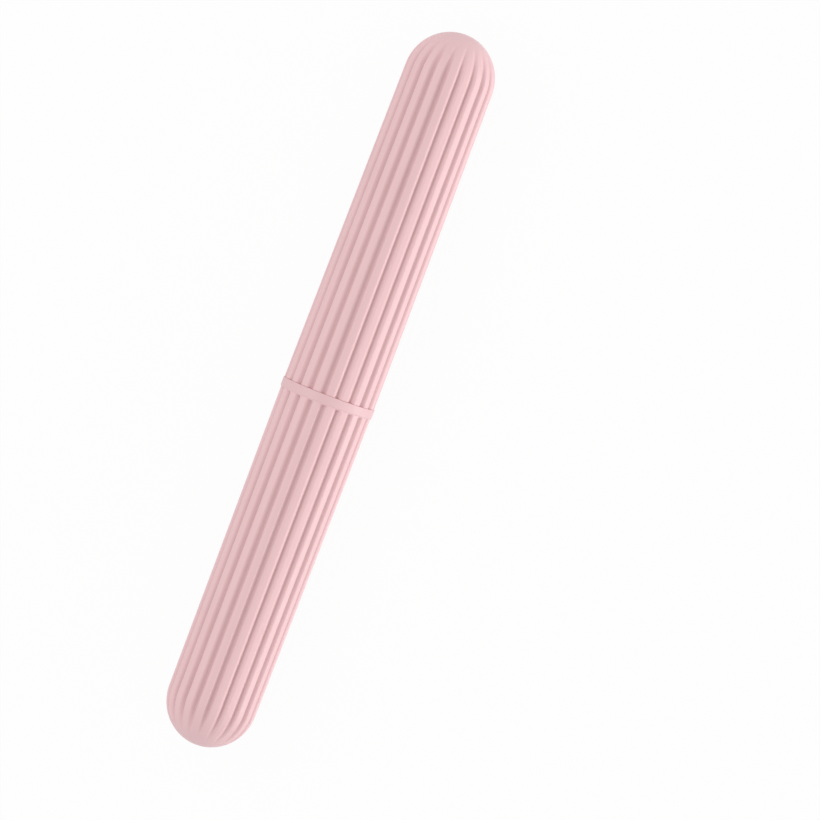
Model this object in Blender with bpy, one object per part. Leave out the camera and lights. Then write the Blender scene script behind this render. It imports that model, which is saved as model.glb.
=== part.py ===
"""Fluted push-fit case for a toothbrush: a body with a plain band and a neck, and a cap.

The case lies on its side along X with the cap at +X, and rests on Z = 0 below the origin.
Lengths are in metres. Stations along a shell are measured from the seam towards its tip.
"""

from math import acos, cos, hypot, pi, radians, sin, tan

import bmesh
import bpy

# Outside
CASE_LENGTH = 0.2100
SEAM_FROM_MIDDLE = -0.0009
RIB_DIAMETER = 0.0262
MOULD_DRAFT = radians(0.27)
BAND_WIDTH = 0.0025
BAND_STAND = 0.0003
EDGE_BREAK = 0.00015

# Flutes
FLUTE_COUNT = 20
FLUTE_WIDTH = 0.0026
FLUTE_DEPTH = 0.0009
FLUTE_END_LENGTH = 0.0005
FLUTE_RUN_OUT = radians(54)
CAP_TURN = radians(-5.7)

# Walls
CAP_WALL = 0.0009
CAP_END_WALL = 0.0017
NECK_WALL = 0.0010
BODY_END_WALL = 0.0022
VENT_DIAMETER = 0.0020

# Push fit
SEAM_GAP = 0.0003
NECK_LENGTH = 0.0130
NECK_LEAD_IN = 0.0004
MOUTH_LEAD_IN = 0.0003
BEAD_HEIGHT = 0.00012
BEAD_WIDTH = 0.0012
BEAD_CREST = 0.0006
BEAD_FROM_NECK_END = 0.0045
BEAD_CLEARANCE = 0.00008
BEAD_GROOVE_DEPTH = 0.00012

# Facets
FLUTE_SIDE_POINTS = 3
BORE_SIDES = 80
OUTER_DOME_STEP = radians(9)
INNER_DOME_STEPS = 6
FLUTE_END_STEPS = 3
SMOOTH_ANGLE = radians(30)

# Satin polypropylene, one colour for both mouldings
PINK = (0.80, 0.52, 0.57, 1.0)
SATIN = 0.45

RIB_RADIUS = RIB_DIAMETER / 2
BAND_RADIUS = RIB_RADIUS + BAND_STAND
FLUTE_PITCH = 2 * pi / FLUTE_COUNT
FLUTE_HALF_ANGLE = FLUTE_WIDTH / 2 / RIB_RADIUS
CAP_LENGTH = CASE_LENGTH / 2 - SEAM_FROM_MIDDLE - SEAM_GAP
BODY_LENGTH = CASE_LENGTH / 2 + SEAM_FROM_MIDDLE


def flute_angles():
    """Angles of the points round a fluted ring: evenly over each flute, and two more on each rib."""
    share = 1 / (2 * FLUTE_SIDE_POINTS - 1)
    side = [FLUTE_HALF_ANGLE * share * (2 * point + 1) for point in range(FLUTE_SIDE_POINTS)]
    side.append((FLUTE_HALF_ANGLE + FLUTE_PITCH / 2) / 2)
    offsets = [-angle for angle in reversed(side)] + side
    return [FLUTE_PITCH * flute + offset for flute in range(FLUTE_COUNT) for offset in offsets]


def band_angles():
    """Angles of the band's corners, which stand in line with the edges of the flutes."""
    edges = (-FLUTE_HALF_ANGLE, FLUTE_HALF_ANGLE)
    return [FLUTE_PITCH * flute + edge for flute in range(FLUTE_COUNT) for edge in edges]


FLUTE_ANGLES = flute_angles()
BAND_ANGLES = band_angles()
BORE_ANGLES = [2 * pi * (side + 0.5) / BORE_SIDES for side in range(BORE_SIDES)]


def rib_radius(station):
    """Radius over the rib tops, which both moulds taper alike from the seam."""
    return RIB_RADIUS - tan(MOULD_DRAFT) * station


def cap_bore_radius(station):
    return rib_radius(station) - FLUTE_DEPTH - CAP_WALL


def neck_radius(station):
    """The neck follows the cap's bore, and its bead runs in it with the bead's clearance."""
    return cap_bore_radius(station) - BEAD_CLEARANCE - BEAD_HEIGHT


def body_bore_radius(station):
    """The core draws out through the neck, so the bore narrows from the neck's end downwards."""
    mouth = neck_radius(NECK_LENGTH) - NECK_WALL
    return mouth - tan(MOULD_DRAFT) * (NECK_LENGTH + station)


def dome_radius(radius_at, length):
    """Radius of the dome that ends a tapered wall at this length and meets it at the dome's root."""
    return radius_at(length) / (1 - tan(MOULD_DRAFT))


def flute_cut(across, depth):
    """Depth of a flute at a distance from its middle: a wave with a round bottom and round lips."""
    return depth * cos(pi * across / FLUTE_WIDTH) ** 2 if across < FLUTE_WIDTH / 2 else 0.0


def flute_depth_at(latitude):
    """Depth of a flute at a latitude of the dome, over which it runs out."""
    return FLUTE_DEPTH * cos(pi / 2 * latitude / FLUTE_RUN_OUT) if latitude < FLUTE_RUN_OUT else 0.0


def ring(x, radii, angles):
    return [(x, radius * sin(angle), radius * cos(angle)) for radius, angle in zip(radii, angles)]


def plain_ring(x, radius, angles=BORE_ANGLES):
    return ring(x, [radius] * len(angles), angles)


def band_ring(x, radius):
    """A ring whose sides, not its corners, lie on the band's round, so the case rests on a side."""
    return plain_ring(x, radius / cos(FLUTE_HALF_ANGLE), BAND_ANGLES)


def band_radius(station):
    """The band tapers towards the edges of the flutes at the dome's root: the case lies on both."""
    root_radius = dome_radius(rib_radius, BODY_LENGTH)
    taper = (BAND_RADIUS - root_radius * cos(FLUTE_HALF_ANGLE)) / (BODY_LENGTH - root_radius)
    return BAND_RADIUS - taper * station


def fluted_ring(x, radius, depth, into_end=0.0):
    """A ring of ribs and flutes. into_end is 0 where a flute's round end begins and 1 at its tip."""
    radii = []
    for angle in FLUTE_ANGLES:
        from_middle = (angle + FLUTE_PITCH / 2) % FLUTE_PITCH - FLUTE_PITCH / 2
        across = hypot(from_middle * RIB_RADIUS, into_end * FLUTE_WIDTH / 2)
        radii.append(radius - flute_cut(across, depth))
    return ring(x, radii, FLUTE_ANGLES)


def dome_arc(centre, radius, last, steps):
    """Stations, radii and latitudes up a dome, from just past its root to the last latitude."""
    latitudes = [last * step / steps for step in range(1, steps + 1)]
    return [(centre + radius * sin(lat), radius * cos(lat), lat) for lat in latitudes]


def outer_dome(length, sense, start, opening=0.0):
    """Rings over a dome: fluted while the flutes last, plainer above them, up to its opening."""
    radius = dome_radius(rib_radius, length)
    last = acos(opening / radius) if opening else pi / 2 - OUTER_DOME_STEP
    steps = round(last / OUTER_DOME_STEP)
    rings = [fluted_ring(start + sense * (length - radius), radius, FLUTE_DEPTH)]
    for station, ring_radius, latitude in dome_arc(length - radius, radius, last, steps):
        x = start + sense * station
        if latitude < FLUTE_RUN_OUT + OUTER_DOME_STEP / 2:
            rings.append(fluted_ring(x, ring_radius, flute_depth_at(latitude)))
        else:
            rings.append(plain_ring(x, ring_radius))
    return rings


def inner_dome(bore_radius_at, length, sense, start, opening=0.0):
    """Rings inside a dome, from its root up to its opening or to the last ring before the pole."""
    radius = dome_radius(bore_radius_at, length)
    centre = length - radius
    last = acos(opening / radius) if opening else pi / 2 * INNER_DOME_STEPS / (INNER_DOME_STEPS + 1)
    arc = [(centre, radius, 0.0)] + dome_arc(centre, radius, last, INNER_DOME_STEPS)
    return [plain_ring(start + sense * station, ring_radius) for station, ring_radius, _ in arc]


def add_loop(bm, points):
    verts = [bm.verts.new(point) for point in points]
    return [bm.edges.new(pair) for pair in zip(verts, verts[1:] + verts[:1])]


def add_wall(bm, rings):
    """A wall skinned through its rings. Returns its first and last loops of edges."""
    loops = [add_loop(bm, points) for points in rings]
    for near, far in zip(loops, loops[1:]):
        bmesh.ops.bridge_loops(bm, edges=near + far)
    return loops[0], loops[-1]


def add_flat(bm, inner, outer):
    """The flat face between two loops that lie in one plane across the axis."""
    bmesh.ops.triangle_fill(bm, edges=inner + outer, use_beauty=True, normal=(1.0, 0.0, 0.0))


def close_pole(bm, loop, x):
    """Fill a dome's last ring and draw the middle of the fill out to the pole."""
    face = bmesh.ops.contextual_create(bm, geom=loop)["faces"][0]
    centre = bmesh.ops.poke(bm, faces=[face])["verts"][0]
    centre.co = (x, 0.0, 0.0)


def body_outer_rings():
    """Shoulder edge, plain band, round flute ends, fluted length and dome, from the seam down."""
    band_end = BAND_WIDTH + BAND_STAND
    rings = [
        band_ring(0.0, BAND_RADIUS - EDGE_BREAK),
        band_ring(-EDGE_BREAK, band_radius(EDGE_BREAK)),
        band_ring(-BAND_WIDTH, band_radius(BAND_WIDTH)),
    ]
    for step in range(FLUTE_END_STEPS + 1):
        into_end = cos(pi / 2 * step / FLUTE_END_STEPS)
        station = band_end + FLUTE_END_LENGTH * (1 - into_end)
        rings.append(fluted_ring(-station, rib_radius(station), FLUTE_DEPTH, into_end))
    return rings + outer_dome(BODY_LENGTH, -1, 0.0, VENT_DIAMETER / 2)


def neck_rings():
    """The neck's outside, from its root at the shoulder past the bead to the lead-in at its end."""
    bead = NECK_LENGTH - BEAD_FROM_NECK_END
    stations = [
        (0.0, 0.0),
        (bead - BEAD_WIDTH / 2, 0.0),
        (bead - BEAD_CREST / 2, BEAD_HEIGHT),
        (bead + BEAD_CREST / 2, BEAD_HEIGHT),
        (bead + BEAD_WIDTH / 2, 0.0),
        (NECK_LENGTH - NECK_LEAD_IN, 0.0),
        (NECK_LENGTH, -NECK_LEAD_IN),
    ]
    return [plain_ring(x, neck_radius(x) + stand) for x, stand in stations]


def body_bore_rings():
    """The bore, from the broken edge at the neck's end down to the vent."""
    mouth = [
        plain_ring(NECK_LENGTH, body_bore_radius(-NECK_LENGTH) + EDGE_BREAK),
        plain_ring(NECK_LENGTH - EDGE_BREAK, body_bore_radius(EDGE_BREAK - NECK_LENGTH)),
    ]
    return mouth + inner_dome(body_bore_radius, BODY_LENGTH - BODY_END_WALL, -1, 0.0, VENT_DIAMETER / 2)


def body_mesh():
    bm = bmesh.new()
    shoulder, vent_outside = add_wall(bm, body_outer_rings())
    neck_root, neck_end = add_wall(bm, neck_rings())
    neck_mouth, vent_inside = add_wall(bm, body_bore_rings())
    add_flat(bm, neck_root, shoulder)
    add_flat(bm, neck_mouth, neck_end)
    bmesh.ops.bridge_loops(bm, edges=vent_inside + vent_outside)
    return finish_mesh(bm, "body_shell")


def cap_outer_rings():
    """Rim edge, fluted length and dome. The flutes run out open at the rim."""
    rings = [
        fluted_ring(SEAM_GAP, rib_radius(0.0) - EDGE_BREAK, FLUTE_DEPTH),
        fluted_ring(SEAM_GAP + EDGE_BREAK, rib_radius(EDGE_BREAK), FLUTE_DEPTH),
    ]
    return rings + outer_dome(CAP_LENGTH, 1, SEAM_GAP)


def cap_bore_rings():
    """Lead-in, bore and the groove that the neck's bead sits in, then the inside of the dome."""
    bead = NECK_LENGTH - BEAD_FROM_NECK_END
    groove_run = BEAD_GROOVE_DEPTH
    groove_half = BEAD_WIDTH / 2 + BEAD_CLEARANCE
    stations = [
        (SEAM_GAP, MOUTH_LEAD_IN),
        (SEAM_GAP + MOUTH_LEAD_IN, 0.0),
        (bead - groove_half - groove_run, 0.0),
        (bead - groove_half, BEAD_GROOVE_DEPTH),
        (bead + groove_half, BEAD_GROOVE_DEPTH),
        (bead + groove_half + groove_run, 0.0),
    ]
    mouth = [plain_ring(x, cap_bore_radius(x) + stand) for x, stand in stations]
    return mouth + inner_dome(cap_bore_radius, CAP_LENGTH - CAP_END_WALL, 1, SEAM_GAP)


def cap_mesh():
    bm = bmesh.new()
    rim, crown = add_wall(bm, cap_outer_rings())
    mouth, bore_end = add_wall(bm, cap_bore_rings())
    add_flat(bm, mouth, rim)
    close_pole(bm, crown, SEAM_GAP + CAP_LENGTH)
    close_pole(bm, bore_end, SEAM_GAP + CAP_LENGTH - CAP_END_WALL)
    return finish_mesh(bm, "cap_shell")


def finish_mesh(bm, name):
    bmesh.ops.recalc_face_normals(bm, faces=bm.faces)
    mesh = bpy.data.meshes.new(name)
    bm.to_mesh(mesh)
    bm.free()
    mesh.shade_smooth()
    mesh.set_sharp_from_angle(angle=SMOOTH_ANGLE)
    return mesh


def satin_plastic(name):
    material = bpy.data.materials.new(name)
    material.use_nodes = True
    shader = material.node_tree.nodes["Principled BSDF"]
    shader.inputs["Base Color"].default_value = PINK
    shader.inputs["Roughness"].default_value = SATIN
    shader.inputs["Metallic"].default_value = 0.0
    material.diffuse_color = PINK
    return material


def place(mesh, turn=0.0):
    """An object with its origin on the case's axis at the seam, turned about that axis."""
    shell = bpy.data.objects.new(mesh.name, mesh)
    mesh.materials.append(satin_plastic(mesh.name + "_plastic"))
    shell.location = (SEAM_FROM_MIDDLE, 0.0, BAND_RADIUS)
    shell.rotation_euler.x = turn
    bpy.context.scene.collection.objects.link(shell)
    return shell


def main():
    for old in list(bpy.data.objects):
        bpy.data.objects.remove(old, do_unlink=True)
    place(body_mesh())
    place(cap_mesh(), CAP_TURN)


main()
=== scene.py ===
"""Looks of a fluted push-fit toothbrush case: its two satin mouldings and a plain white studio.

The case lies along X with the cap at +X, and rests on Z = 0 below the origin. Lengths are in
metres. Each moulding is drawn as an outline beside the axis, with X = 0 at the seam, and turned
into a wall.
"""

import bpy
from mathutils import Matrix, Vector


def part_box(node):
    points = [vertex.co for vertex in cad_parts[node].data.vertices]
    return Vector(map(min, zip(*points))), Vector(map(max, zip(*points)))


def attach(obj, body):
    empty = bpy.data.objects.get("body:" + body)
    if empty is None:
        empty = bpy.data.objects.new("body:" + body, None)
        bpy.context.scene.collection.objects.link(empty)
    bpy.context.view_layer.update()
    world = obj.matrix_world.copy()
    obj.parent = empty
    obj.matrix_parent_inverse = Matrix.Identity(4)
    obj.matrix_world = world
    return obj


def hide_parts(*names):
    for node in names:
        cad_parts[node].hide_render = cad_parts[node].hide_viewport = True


bl_info = {
    "name": "Fluted Toothbrush Case",
    "version": (1, 0, 0),
    "blender": (4, 5, 0),
    "location": "3D View > Sidebar > Case",
    "description": "A fluted travel case's body and cap, their satin plastic and a white studio",
    "category": "Add Mesh",
}

from math import asin, atan2, cos, hypot, pi, radians, sin, tan

import bmesh
import bpy
from bpy.props import FloatProperty, FloatVectorProperty, IntProperty, PointerProperty
from mathutils import Matrix, Vector

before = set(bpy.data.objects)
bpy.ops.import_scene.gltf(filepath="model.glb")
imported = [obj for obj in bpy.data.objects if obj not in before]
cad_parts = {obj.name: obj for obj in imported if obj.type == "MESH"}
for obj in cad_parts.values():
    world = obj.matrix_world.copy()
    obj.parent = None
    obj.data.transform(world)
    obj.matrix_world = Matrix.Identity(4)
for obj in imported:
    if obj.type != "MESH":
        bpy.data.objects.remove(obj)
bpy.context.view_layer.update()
BODY_LOW, BODY_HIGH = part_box("body_shell")
CAP_LOW, CAP_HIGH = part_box("cap_shell")

# The origin lies midway between the tips. The body's is cut away by its vent, so the cap's gives
# both.
TIP_X = CAP_HIGH.x
AXIS_HEIGHT = (BODY_LOW.z + BODY_HIGH.z) / 2
BAND_RADIUS = (BODY_HIGH.z - BODY_LOW.z) / 2
CAD_SEAM_GAP = 0.0003
SEAM_X = CAP_LOW.x - CAD_SEAM_GAP
NECK_LENGTH = BODY_HIGH.x - SEAM_X

ORIGIN = (0.0, 0.0, 0.0)
CASE_AXIS = (1.0, 0.0, 0.0)

# How finely the outlines are divided.
STEPS_PER_FLUTE = 24
DOME_PARTS = 24
LENGTH_PARTS = 12
STOP_PARTS = 8
NECK_PARTS = 3
BEAD_PARTS = 10
EDGE_SEGMENTS = 4

MERGE_DISTANCE = 1e-6
SMOOTH_ANGLE = radians(30)

# The attribute that holds each point's share of the painted shade, in the flutes' hollows and on
# the band.
PAINTED_SHADE = "flute"


def length(name, description, default):
    return FloatProperty(
        name=name, description=description, default=default, min=0.0, unit="LENGTH", precision=5
    )


def angle(name, description, degrees):
    return FloatProperty(
        name=name, description=description, default=radians(degrees), subtype="ANGLE"
    )


def factor(name, description, default):
    return FloatProperty(
        name=name, description=description, default=default, min=0.0, max=1.0, subtype="FACTOR"
    )


def power(name, description, default):
    return FloatProperty(
        name=name, description=description, default=default, min=0.0, subtype="POWER"
    )


def colour(name, description, default):
    return FloatVectorProperty(
        name=name, description=description, default=default, min=0.0, max=1.0, subtype="COLOR"
    )


class CaseSizes(bpy.types.PropertyGroup):
    """Sizes of the two mouldings."""

    flute_count: IntProperty(name="Flutes", description="Flutes round the case", default=20, min=3)
    flute_width: length("Flute Width", "Width of a flute from lip to lip", 0.0026)
    flute_depth: length("Flute Depth", "Depth of a flute in its middle", 0.0009)
    flute_stop: length("Flute Stop", "Length of the round end of a flute at the band", 0.0005)
    flute_run_out: angle("Run-Out", "Latitude of the domes at which the flutes have run out", 54)
    dome_stretch: FloatProperty(
        name="Dome Stretch",
        description="Height of the domes over their radius",
        default=1.04,
        min=1.0,
    )
    cap_turn: angle("Cap Turn", "How far the cap is turned on the neck", -5.7)
    draft: angle("Draft", "Taper of the moulded walls", 0.31)
    band_width: length("Band Width", "Width of the plain band along the case", 0.0025)
    band_stand: length("Band Stand", "Height of the band over the ribs", 0.0002)
    seam_gap: length("Seam Gap", "Gap between the band and the rim of the shut cap", 0.00002)
    edge_round: length("Edge Round", "Radius of the band's and the rims' edges", 0.00015)
    cap_wall: length("Cap Wall", "Thickness of the cap's wall under a flute", 0.0009)
    cap_end_wall: length("Cap End Wall", "Thickness of the cap's wall at its pole", 0.0017)
    neck_wall: length("Neck Wall", "Thickness of the neck's wall at its end", 0.0010)
    body_end_wall: length("Body End Wall", "Thickness of the body's wall at its pole", 0.0022)
    neck_play: length("Neck Play", "Clearance between the neck and the cap's bore", 0.0002)
    bead_height: length("Bead Height", "Height of the bead on the neck", 0.00012)
    bead_width: length("Bead Width", "Width of the bead on the neck", 0.0012)
    bead_place: length("Bead Place", "Distance of the bead from the neck's end", 0.0045)
    vent_diameter: length("Vent Diameter", "Diameter of the air hole in the body's tip", 0.0020)


class CaseFinish(bpy.types.PropertyGroup):
    """Colours, painted shade and surface of the satin plastic."""

    colour: colour("Colour", "Colour of the ribs and the band", (0.80, 0.527, 0.545))
    # Flute Colour is painted shade: the darker colour that the flutes' hollows and the band are
    # mixed towards.
    shade_colour: colour("Flute Colour", "Deeper colour in the flutes", (0.61, 0.395, 0.405))
    roughness: factor("Roughness", "Roughness of the satin surface", 0.48)
    # Band Tone is painted shade: the band is painted a little darker than the ribs beside it.
    band_shade: factor("Band Tone", "Share of the flutes' deeper colour in the band", 0.25)
    mottle: factor("Mottle", "Strength of the faint clouds in the colour", 0.35)
    grain_size: length("Grain Size", "Size of the mould's fine grain", 0.00022)
    grain_depth: length("Grain Depth", "Depth of the mould's fine grain", 0.000008)


class StudioSettings(bpy.types.PropertyGroup):
    """Camera angles and light levels."""

    camera_tilt: angle("Tilt", "How far the camera leans towards the cap", 3.3)
    camera_side: angle("Side", "How far the camera leans across the case", 0.5)
    camera_roll: angle("Roll", "How far the case leans from upright in the picture", 20.86)
    ambient: factor("Ambient", "Strength of the surrounding light", 0.79)
    right_light: power("Right Light", "Power of the low softbox right of the case", 4.1)
    left_light: power("Left Light", "Power of the softbox left of the case", 1.5)
    floor_shade: factor("Floor Shade", "Share of the floor's white that shadows darken", 0.05)


class Outline:
    """A wall's outline beside the axis, from point to point: X along the axis, Z the radius."""

    def __init__(self, x, radius):
        self.bm = bmesh.new()
        self.first = self.bm.verts.new((x, 0.0, radius))
        self.last = self.first
        self.corners = []

    def run(self, x, radius, parts=1, swell=0.0):
        """A straight run in equal parts, which may swell into a low bead or a shallow groove."""
        start = self.last.co.copy()
        end = Vector((x, 0.0, radius))
        for part in range(1, parts + 1):
            grown = bmesh.ops.extrude_vert_indiv(self.bm, verts=[self.last])
            self.last = grown["verts"][0]
            self.last.co = start.lerp(end, part / parts)
            self.last.co.z += swell * sin(pi * part / parts) ** 2

    def arc(self, centre_x, sweep, parts):
        """A round stretch about a point of the axis. A positive sweep turns from +Z towards +X."""
        turned = bmesh.ops.spin(
            self.bm,
            geom=[self.last],
            cent=(centre_x, 0.0, 0.0),
            axis=(0.0, 1.0, 0.0),
            angle=sweep,
            steps=parts,
        )
        self.last = turned["geom_last"][0]

    def ease(self, rounding):
        """Mark the last corner to be rounded."""
        self.corners.append((self.last, rounding))

    def close(self):
        """Join the last point to the first, for an outline that doesn't reach the axis."""
        self.bm.edges.new((self.last, self.first))

    def turn(self, flutes):
        """Round the marked corners and turn the outline through one flute's share of the round."""
        for corner, rounding in self.corners:
            bmesh.ops.bevel(
                self.bm,
                geom=[corner],
                offset=rounding,
                offset_type="OFFSET",
                affect="VERTICES",
                segments=EDGE_SEGMENTS,
                profile=0.5,
                material=-1,
            )
        share = 2 * pi / flutes
        start = Matrix.Rotation(-share / 2, 3, "X")
        bmesh.ops.rotate(self.bm, verts=self.bm.verts, cent=ORIGIN, matrix=start)
        line = self.bm.verts[:] + self.bm.edges[:]
        bmesh.ops.spin(
            self.bm, geom=line, cent=ORIGIN, axis=CASE_AXIS, angle=share, steps=STEPS_PER_FLUTE
        )
        return self.bm


def repeat_round(bm, flutes):
    """Repeat a flute's share of the wall round the axis and weld the shares together."""
    share = 2 * pi / flutes
    bmesh.ops.spin(
        bm,
        geom=bm.verts[:] + bm.edges[:] + bm.faces[:],
        cent=ORIGIN,
        axis=CASE_AXIS,
        angle=share * (flutes - 1),
        steps=flutes - 1,
        use_duplicate=True,
    )
    bmesh.ops.remove_doubles(bm, verts=bm.verts, dist=MERGE_DISTANCE)
    bmesh.ops.recalc_face_normals(bm, faces=bm.faces)


def rib_radius(sizes, station):
    """Radius over the ribs at a distance from the seam."""
    return BAND_RADIUS - sizes.band_stand - tan(sizes.draft) * station


def cap_bore_radius(sizes, station):
    return rib_radius(sizes, station) - sizes.flute_depth - sizes.cap_wall


def neck_radius(sizes, station):
    return cap_bore_radius(sizes, station) - sizes.neck_play


def body_bore_radius(sizes, station):
    """The core draws out through the neck, so the bore narrows from the neck's end down."""
    mouth = neck_radius(sizes, NECK_LENGTH) - sizes.neck_wall
    return mouth - tan(sizes.draft) * (NECK_LENGTH + station)


def dome_radius(sizes, radius_at, station):
    """Radius of the dome that ends a tapered wall at this distance from the seam."""
    return radius_at(sizes, station) / (1 - tan(sizes.draft))


def rim_rounding(wall):
    """The corners of a rim are rounded by a third of its wall."""
    return wall / 3


def run_over_bead(line, sizes, radius_at):
    """Run the neck's outline up to its bead and over it, or the bore's likewise at its groove."""
    bead = NECK_LENGTH - sizes.bead_place
    start, end = bead - sizes.bead_width / 2, bead + sizes.bead_width / 2
    line.run(start, radius_at(sizes, start), NECK_PARTS)
    line.run(end, radius_at(sizes, end), BEAD_PARTS, sizes.bead_height)


def press_flute(bm, sizes, sense, root, dome, stop=None):
    """Press a flute into the middle of its share, and mark how much painted shade each point
    takes.

    sense is the way from the seam to the tip along X, root the distance from the seam to the dome,
    and dome its radius. The flute ends round at stop, or is open at the rim. The painted shade
    follows the square of the depth.
    """
    inside = rib_radius(sizes, root) - sizes.flute_depth
    shade_share = bm.verts.layers.float.new(PAINTED_SHADE)
    for vert in bm.verts:
        x, y, z = vert.co
        past_dome_root = max(0.0, sense * x - root)
        if hypot(past_dome_root, y, z) < inside:
            continue
        latitude = asin(min(1.0, past_dome_root / dome))
        if latitude >= sizes.flute_run_out:
            continue
        across = atan2(y, z) * rib_radius(sizes, 0.0)
        if stop is not None:
            into_end = max(0.0, 1 + (x - stop) / sizes.flute_stop)
            across = hypot(across, into_end * sizes.flute_width / 2)
        if abs(across) >= sizes.flute_width / 2:
            continue
        section = cos(pi * across / sizes.flute_width) ** 2
        share = section * cos(pi / 2 * latitude / sizes.flute_run_out)
        # The flute's hollow takes painted shade, by the square of its depth.
        vert[shade_share] = share * share
        ring = hypot(y, z)
        scale = (ring - share * sizes.flute_depth) / ring
        vert.co = (x, y * scale, z * scale)


def paint_band_shade(bm, sizes, finish):
    """Paint the plain band with a share of the flutes' darker colour, as painted shade."""
    shade_share = bm.verts.layers.float[PAINTED_SHADE]
    for vert in bm.verts:
        if vert.co.yz.length > BAND_RADIUS - sizes.band_stand / 2:
            vert[shade_share] = finish.band_shade


def stretch_dome(bm, sizes, sense, root):
    """Draw the round dome out along the axis to its full height."""
    for vert in bm.verts:
        past_dome_root = max(0.0, sense * vert.co.x - root)
        vert.co.x += sense * past_dome_root * (sizes.dome_stretch - 1)


def add_moulding(context, name, bm, turn, material):
    """Make the finished wall an object at the origin, with its place in its mesh."""
    place = Matrix.Translation((SEAM_X, 0.0, AXIS_HEIGHT)) @ Matrix.Rotation(turn, 4, "X")
    bmesh.ops.transform(bm, matrix=place, verts=bm.verts)
    mesh = bpy.data.meshes.new(name)
    bm.to_mesh(mesh)
    bm.free()
    mesh.shade_smooth()
    mesh.set_sharp_from_angle(angle=SMOOTH_ANGLE)
    mesh.materials.append(material)
    piece = bpy.data.objects.new(name, mesh)
    context.scene.collection.objects.link(piece)
    return piece


class Number:
    """A node's output. Python's operators join it to numbers and other outputs by Math nodes."""

    def __init__(self, shader, socket):
        self.shader = shader
        self.socket = socket

    def join(self, operation, first, second):
        inputs = {"Value": first, "Value_001": second}
        return self.shader.node("ShaderNodeMath", {"operation": operation}, inputs)["Value"]

    def __add__(self, other):
        return self.join("ADD", self, other)

    def __radd__(self, other):
        return self.join("ADD", other, self)

    def __sub__(self, other):
        return self.join("SUBTRACT", self, other)

    def __rsub__(self, other):
        return self.join("SUBTRACT", other, self)

    def __mul__(self, other):
        return self.join("MULTIPLY", self, other)

    def __rmul__(self, other):
        return self.join("MULTIPLY", other, self)


class Shader:
    """The node tree of a material or of the world."""

    def __init__(self, owner):
        owner.use_nodes = True
        self.tree = owner.node_tree
        self.tree.nodes.clear()

    def node(self, kind, settings=None, inputs=None):
        """Add a node, set it up, feed its sockets and return its outputs, by their identifiers."""
        node = self.tree.nodes.new(kind)
        for name, value in (settings or {}).items():
            setattr(node, name, value)
        sockets = {socket.identifier: socket for socket in node.inputs}
        for identifier, value in (inputs or {}).items():
            if isinstance(value, Number):
                self.tree.links.new(value.socket, sockets[identifier])
            else:
                sockets[identifier].default_value = value
        return {socket.identifier: Number(self, socket) for socket in node.outputs}


# The satin plastic's noises run from 0 to 1. Their scales are in features to the metre.
NOISE_MIDDLE = 0.5
GRAIN_DETAIL = 2.0
CLOUD_SCALE = 55.0
CLOUD_DETAIL = 3.0
RUBBING_SCALE = 180.0
RUBBING_DETAIL = 4.0

# What the flutes, the rubbing and the grain add to the plastic's roughness.
FLUTE_DULLNESS = 0.06
RUBBING_SPREAD = 0.10
GRAIN_SPREAD = 0.05

PLASTIC_IOR = 1.49


def opaque(rgb):
    return (*rgb, 1.0)


def noise(shader, place, scale, detail):
    """Noise over the surface, from 0 to 1."""
    inputs = {"Vector": place, "Scale": scale, "Detail": detail}
    return shader.node("ShaderNodeTexNoise", inputs=inputs)["Fac"]


def satin_plastic(name, finish):
    """Pale moulded plastic: fine grain, faint clouds, duller flutes with painted shade, burnished
    ribs.
    """
    material = bpy.data.materials.new(name)
    shader = Shader(material)
    place = shader.node("ShaderNodeTexCoord")["Object"]
    flute = shader.node("ShaderNodeAttribute", {"attribute_name": PAINTED_SHADE})["Fac"]
    grain = noise(shader, place, 1 / finish.grain_size, GRAIN_DETAIL)
    clouds = noise(shader, place, CLOUD_SCALE, CLOUD_DETAIL)
    rubbing = noise(shader, place, RUBBING_SCALE, RUBBING_DETAIL)
    # The flutes' hollows and the band mix towards the darker colour as painted shade, and the
    # clouds vary the colour at random.
    shade_share = flute + finish.mottle * (clouds - NOISE_MIDDLE)
    base = shader.node(
        "ShaderNodeMix",
        {"data_type": "RGBA"},
        {
            "Factor_Float": shade_share,
            "A_Color": opaque(finish.colour),
            "B_Color": opaque(finish.shade_colour),
        },
    )["Result_Color"]
    rough = (
        finish.roughness
        + FLUTE_DULLNESS * flute
        + RUBBING_SPREAD * (rubbing - NOISE_MIDDLE) * (1 - flute)
        + GRAIN_SPREAD * (grain - NOISE_MIDDLE)
    )
    bump = shader.node(
        "ShaderNodeBump", inputs={"Strength": 1.0, "Distance": finish.grain_depth, "Height": grain}
    )["Normal"]
    surface = shader.node(
        "ShaderNodeBsdfPrincipled",
        inputs={"Base Color": base, "Roughness": rough, "Normal": bump, "IOR": PLASTIC_IOR},
    )["BSDF"]
    shader.node("ShaderNodeOutputMaterial", inputs={"Surface": surface})
    material.diffuse_color = opaque(finish.colour)
    return material


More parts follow.
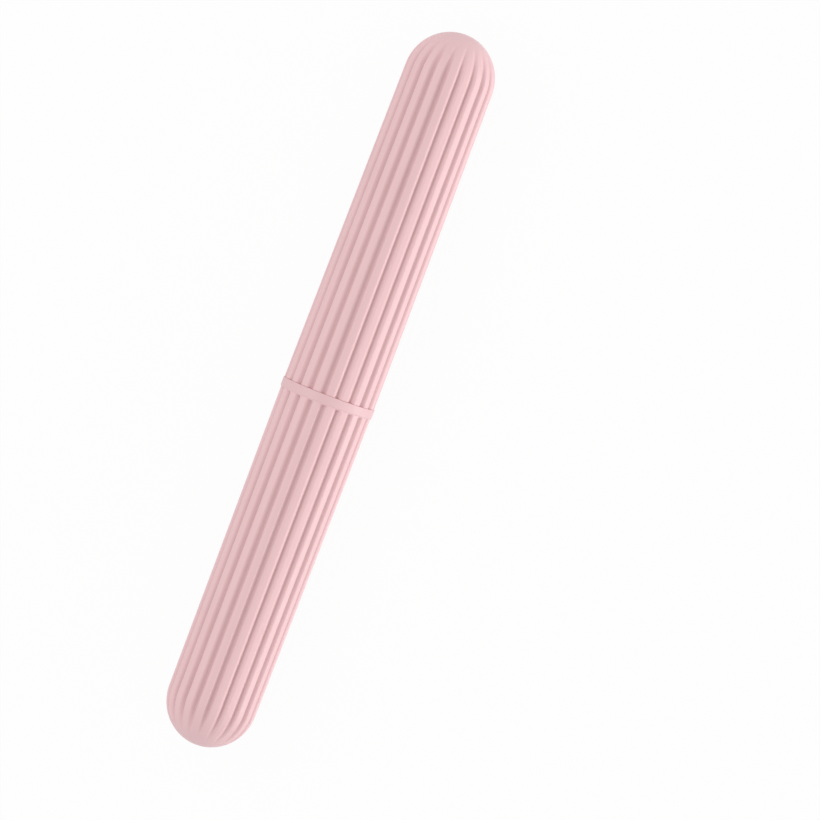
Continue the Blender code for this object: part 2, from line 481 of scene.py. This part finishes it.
class CASE_OT_body_tube(bpy.types.Operator):
    """Add the body: a fluted tube with a dome, a plain band and the neck that takes the cap"""

    bl_idname = "case.body_tube"
    bl_label = "Body Tube"

    def execute(self, context):
        sizes = context.scene.case_sizes
        tip = SEAM_X + TIP_X
        outer = dome_radius(sizes, rib_radius, tip)
        tip -= outer * (sizes.dome_stretch - 1)
        vent = sizes.vent_diameter / 2
        inner_tip = tip - sizes.body_end_wall
        inner = dome_radius(sizes, body_bore_radius, inner_tip)
        band_end = sizes.band_width + sizes.band_stand
        rise = asin(vent / outer)
        line = Outline(outer - tip - outer * cos(rise), vent)
        line.ease(sizes.edge_round)
        line.arc(outer - tip, pi / 2 - rise, DOME_PARTS)
        full_depth = band_end + sizes.flute_stop
        line.run(-full_depth, rib_radius(sizes, full_depth), LENGTH_PARTS)
        line.run(-band_end, rib_radius(sizes, band_end), STOP_PARTS)
        line.ease(sizes.band_stand / 2)
        line.run(-sizes.band_width, BAND_RADIUS)
        line.ease(sizes.band_stand / 2)
        line.run(0.0, BAND_RADIUS)
        line.ease(sizes.edge_round)
        line.run(0.0, neck_radius(sizes, 0.0))
        line.ease(sizes.edge_round)
        run_over_bead(line, sizes, neck_radius)
        line.run(NECK_LENGTH, neck_radius(sizes, NECK_LENGTH))
        line.ease(rim_rounding(sizes.neck_wall))
        line.run(NECK_LENGTH, body_bore_radius(sizes, -NECK_LENGTH))
        line.ease(rim_rounding(sizes.neck_wall))
        line.run(inner - inner_tip, inner, LENGTH_PARTS)
        line.arc(inner - inner_tip, asin(vent / inner) - pi / 2, DOME_PARTS)
        line.ease(sizes.edge_round)
        line.close()
        bm = line.turn(sizes.flute_count)
        # The flutes' hollows are painted darker, as painted shade.
        press_flute(bm, sizes, -1, tip - outer, outer, -band_end)
        # The plain band is painted a little darker, as painted shade.
        paint_band_shade(bm, sizes, context.scene.case_finish)
        stretch_dome(bm, sizes, -1, tip - outer)
        repeat_round(bm, sizes.flute_count)
        material = satin_plastic("body_plastic", context.scene.case_finish)
        piece = add_moulding(context, "body_tube", bm, 0.0, material)
        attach(piece, "body")
        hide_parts("body_shell")
        return {"FINISHED"}


class CASE_OT_cap_tube(bpy.types.Operator):
    """Add the cap: a fluted tube with a dome, an open rim and a groove for the neck's bead"""

    bl_idname = "case.cap_tube"
    bl_label = "Cap Tube"

    def execute(self, context):
        sizes = context.scene.case_sizes
        tip = TIP_X - SEAM_X
        outer = dome_radius(sizes, rib_radius, tip)
        tip -= outer * (sizes.dome_stretch - 1)
        gap = sizes.seam_gap
        inner_tip = tip - sizes.cap_end_wall
        inner = dome_radius(sizes, cap_bore_radius, inner_tip)
        line = Outline(tip, 0.0)
        line.arc(tip - outer, -pi / 2, DOME_PARTS)
        line.run(gap, rib_radius(sizes, gap), LENGTH_PARTS)
        line.ease(sizes.edge_round)
        line.run(gap, cap_bore_radius(sizes, gap))
        line.ease(rim_rounding(sizes.cap_wall))
        run_over_bead(line, sizes, cap_bore_radius)
        line.run(inner_tip - inner, inner, LENGTH_PARTS)
        line.arc(inner_tip - inner, pi / 2, DOME_PARTS)
        bm = line.turn(sizes.flute_count)
        # The flutes' hollows are painted darker, as painted shade.
        press_flute(bm, sizes, 1, tip - outer, outer)
        stretch_dome(bm, sizes, 1, tip - outer)
        repeat_round(bm, sizes.flute_count)
        material = satin_plastic("cap_plastic", context.scene.case_finish)
        piece = add_moulding(context, "cap_tube", bm, sizes.cap_turn, material)
        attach(piece, "cap")
        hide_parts("cap_shell")
        return {"FINISHED"}


# The case in the picture, in pixels of its 820 x 820 frame.
PICTURE_WIDTH = 820
CASE_LENGTH_PIXELS = 760.7
CASE_MIDDLE_PIXELS = (330.47, 390.07)

# Blender gives a camera's sensor and lens in millimetres.
SENSOR_WIDTH = 36.0

CAMERA_DISTANCE = 4.0
FLOOR_HALF_WIDTH = 1.5
LIGHT_DISTANCE = 0.8
LIGHT_LENGTH = 0.9
LIGHT_SHIFT = 0.12
RIGHT_LIGHT_WIDTH = 0.15
RIGHT_LIGHT_SLOPE = radians(4)
LEFT_LIGHT_WIDTH = 0.35
LEFT_LIGHT_SLOPE = radians(50)

WHITE = (1.0, 1.0, 1.0, 1.0)
FLOOR_WHITE = (0.8, 0.8, 0.8, 1.0)


def white_floor(context, shade):
    """A floor that the camera sees as white by itself, apart from a share that takes shadows."""
    material = bpy.data.materials.new("studio_floor")
    shader = Shader(material)
    path = shader.node("ShaderNodeLightPath")
    camera, glossy = path["Is Camera Ray"], path["Is Glossy Ray"]
    lit = shader.node("ShaderNodeBsdfDiffuse", inputs={"Color": FLOOR_WHITE})["BSDF"]
    glowing = shader.node(
        "ShaderNodeEmission", inputs={"Color": WHITE, "Strength": 1.0}
    )["Emission"]
    seen = (camera + glossy * (1 - camera)) * (1 - shade)
    surface = shader.node(
        "ShaderNodeMixShader", inputs={"Fac": seen, "Shader": lit, "Shader_001": glowing}
    )["Shader"]
    shader.node("ShaderNodeOutputMaterial", inputs={"Surface": surface})
    bm = bmesh.new()
    bmesh.ops.create_grid(bm, x_segments=1, y_segments=1, size=FLOOR_HALF_WIDTH)
    mesh = bpy.data.meshes.new("studio_floor")
    bm.to_mesh(mesh)
    bm.free()
    mesh.materials.append(material)
    floor = bpy.data.objects.new("studio_floor", mesh)
    context.scene.collection.objects.link(floor)


def white_world(context, ambient):
    """Even light all round, white where it is seen directly, mirrored or through a clear part."""
    world = bpy.data.worlds.new("studio_world")
    shader = Shader(world)
    path = shader.node("ShaderNodeLightPath")
    camera, glossy = path["Is Camera Ray"], path["Is Glossy Ray"]
    hidden = (1 - camera) * (1 - glossy) * (1 - path["Is Transmission Ray"])
    background = shader.node(
        "ShaderNodeBackground", inputs={"Color": WHITE, "Strength": 1 - hidden * (1 - ambient)}
    )["Background"]
    shader.node("ShaderNodeOutputWorld", inputs={"Surface": background})
    context.scene.world = world


def softbox(context, name, slope, width, watts):
    """A long softbox in line with the case and facing it, at a slope from the floor's right."""
    direction = Vector((0.0, -cos(slope), sin(slope)))
    light = bpy.data.lights.new(name, "AREA")
    light.shape = "RECTANGLE"
    light.size = LIGHT_LENGTH
    light.size_y = width
    light.energy = watts
    lamp = bpy.data.objects.new(name, light)
    along = Vector(CASE_AXIS)
    turn = Matrix((along, direction.cross(along), direction)).transposed()
    place = direction * LIGHT_DISTANCE + along * LIGHT_SHIFT
    lamp.matrix_world = Matrix.Translation(place) @ turn.to_4x4()
    context.scene.collection.objects.link(lamp)


def picture_camera(context, settings):
    """A long lens above the case, with the case lying in the frame as in the picture."""
    tilt, side, roll = settings.camera_tilt, settings.camera_side, settings.camera_roll
    back = Vector((sin(tilt), -sin(side) * cos(tilt), cos(side) * cos(tilt)))
    case_axis = Vector(CASE_AXIS)
    case_up = (case_axis - back * case_axis.dot(back)).normalized()
    case_right = case_up.cross(back)
    up = case_up * cos(roll) - case_right * sin(roll)
    right = case_right * cos(roll) + case_up * sin(roll)
    pixel = (2 * TIP_X) / CASE_LENGTH_PIXELS
    from_middle_x = PICTURE_WIDTH / 2 - CASE_MIDDLE_PIXELS[0]
    from_middle_y = CASE_MIDDLE_PIXELS[1] - PICTURE_WIDTH / 2
    aim = (
        Vector((0.0, 0.0, AXIS_HEIGHT))
        + right * from_middle_x * pixel
        + up * from_middle_y * pixel
    )
    lens = bpy.data.cameras.new("picture_camera")
    lens.sensor_width = SENSOR_WIDTH
    lens.lens = SENSOR_WIDTH * CAMERA_DISTANCE / (PICTURE_WIDTH * pixel)
    camera = bpy.data.objects.new("picture_camera", lens)
    turn = Matrix((right, up, back)).transposed()
    camera.matrix_world = Matrix.Translation(aim + back * CAMERA_DISTANCE) @ turn.to_4x4()
    context.scene.collection.objects.link(camera)
    context.scene.camera = camera


class CASE_OT_studio(bpy.types.Operator):
    """Add the white floor, the surrounding light, two softboxes and the camera"""

    bl_idname = "case.studio"
    bl_label = "White Studio"

    def execute(self, context):
        settings = context.scene.case_studio
        context.scene.view_settings.view_transform = "Standard"
        white_floor(context, settings.floor_shade)
        white_world(context, settings.ambient)
        for name, slope, width, watts in (
            ("right_softbox", RIGHT_LIGHT_SLOPE, RIGHT_LIGHT_WIDTH, settings.right_light),
            ("left_softbox", pi - LEFT_LIGHT_SLOPE, LEFT_LIGHT_WIDTH, settings.left_light),
        ):
            softbox(context, name, slope, width, watts)
        picture_camera(context, settings)
        return {"FINISHED"}


class CASE_PT_panel(bpy.types.Panel):
    """The case's sizes, finish and operators"""

    bl_idname = "CASE_PT_panel"
    bl_label = "Toothbrush Case"
    bl_space_type = "VIEW_3D"
    bl_region_type = "UI"
    bl_category = "Case"

    def draw(self, context):
        scene = context.scene
        for heading, group in (
            ("Sizes", scene.case_sizes),
            ("Finish", scene.case_finish),
            ("Studio", scene.case_studio),
        ):
            box = self.layout.box()
            box.label(text=heading)
            for name in group.__annotations__:
                box.prop(group, name)
        for operator in OPERATORS:
            self.layout.operator(operator.bl_idname)


GROUPS = {"case_sizes": CaseSizes, "case_finish": CaseFinish, "case_studio": StudioSettings}
OPERATORS = (CASE_OT_body_tube, CASE_OT_cap_tube, CASE_OT_studio)


def register():
    for cls in (*GROUPS.values(), *OPERATORS, CASE_PT_panel):
        bpy.utils.register_class(cls)
    for name, group in GROUPS.items():
        setattr(bpy.types.Scene, name, PointerProperty(type=group))


def unregister():
    for name in GROUPS:
        delattr(bpy.types.Scene, name)
    for cls in (CASE_PT_panel, *OPERATORS, *GROUPS.values()):
        bpy.utils.unregister_class(cls)


def main():
    register()
    bpy.ops.case.body_tube()
    bpy.ops.case.cap_tube()
    bpy.ops.case.studio()


if __name__ == "__main__":
    main()
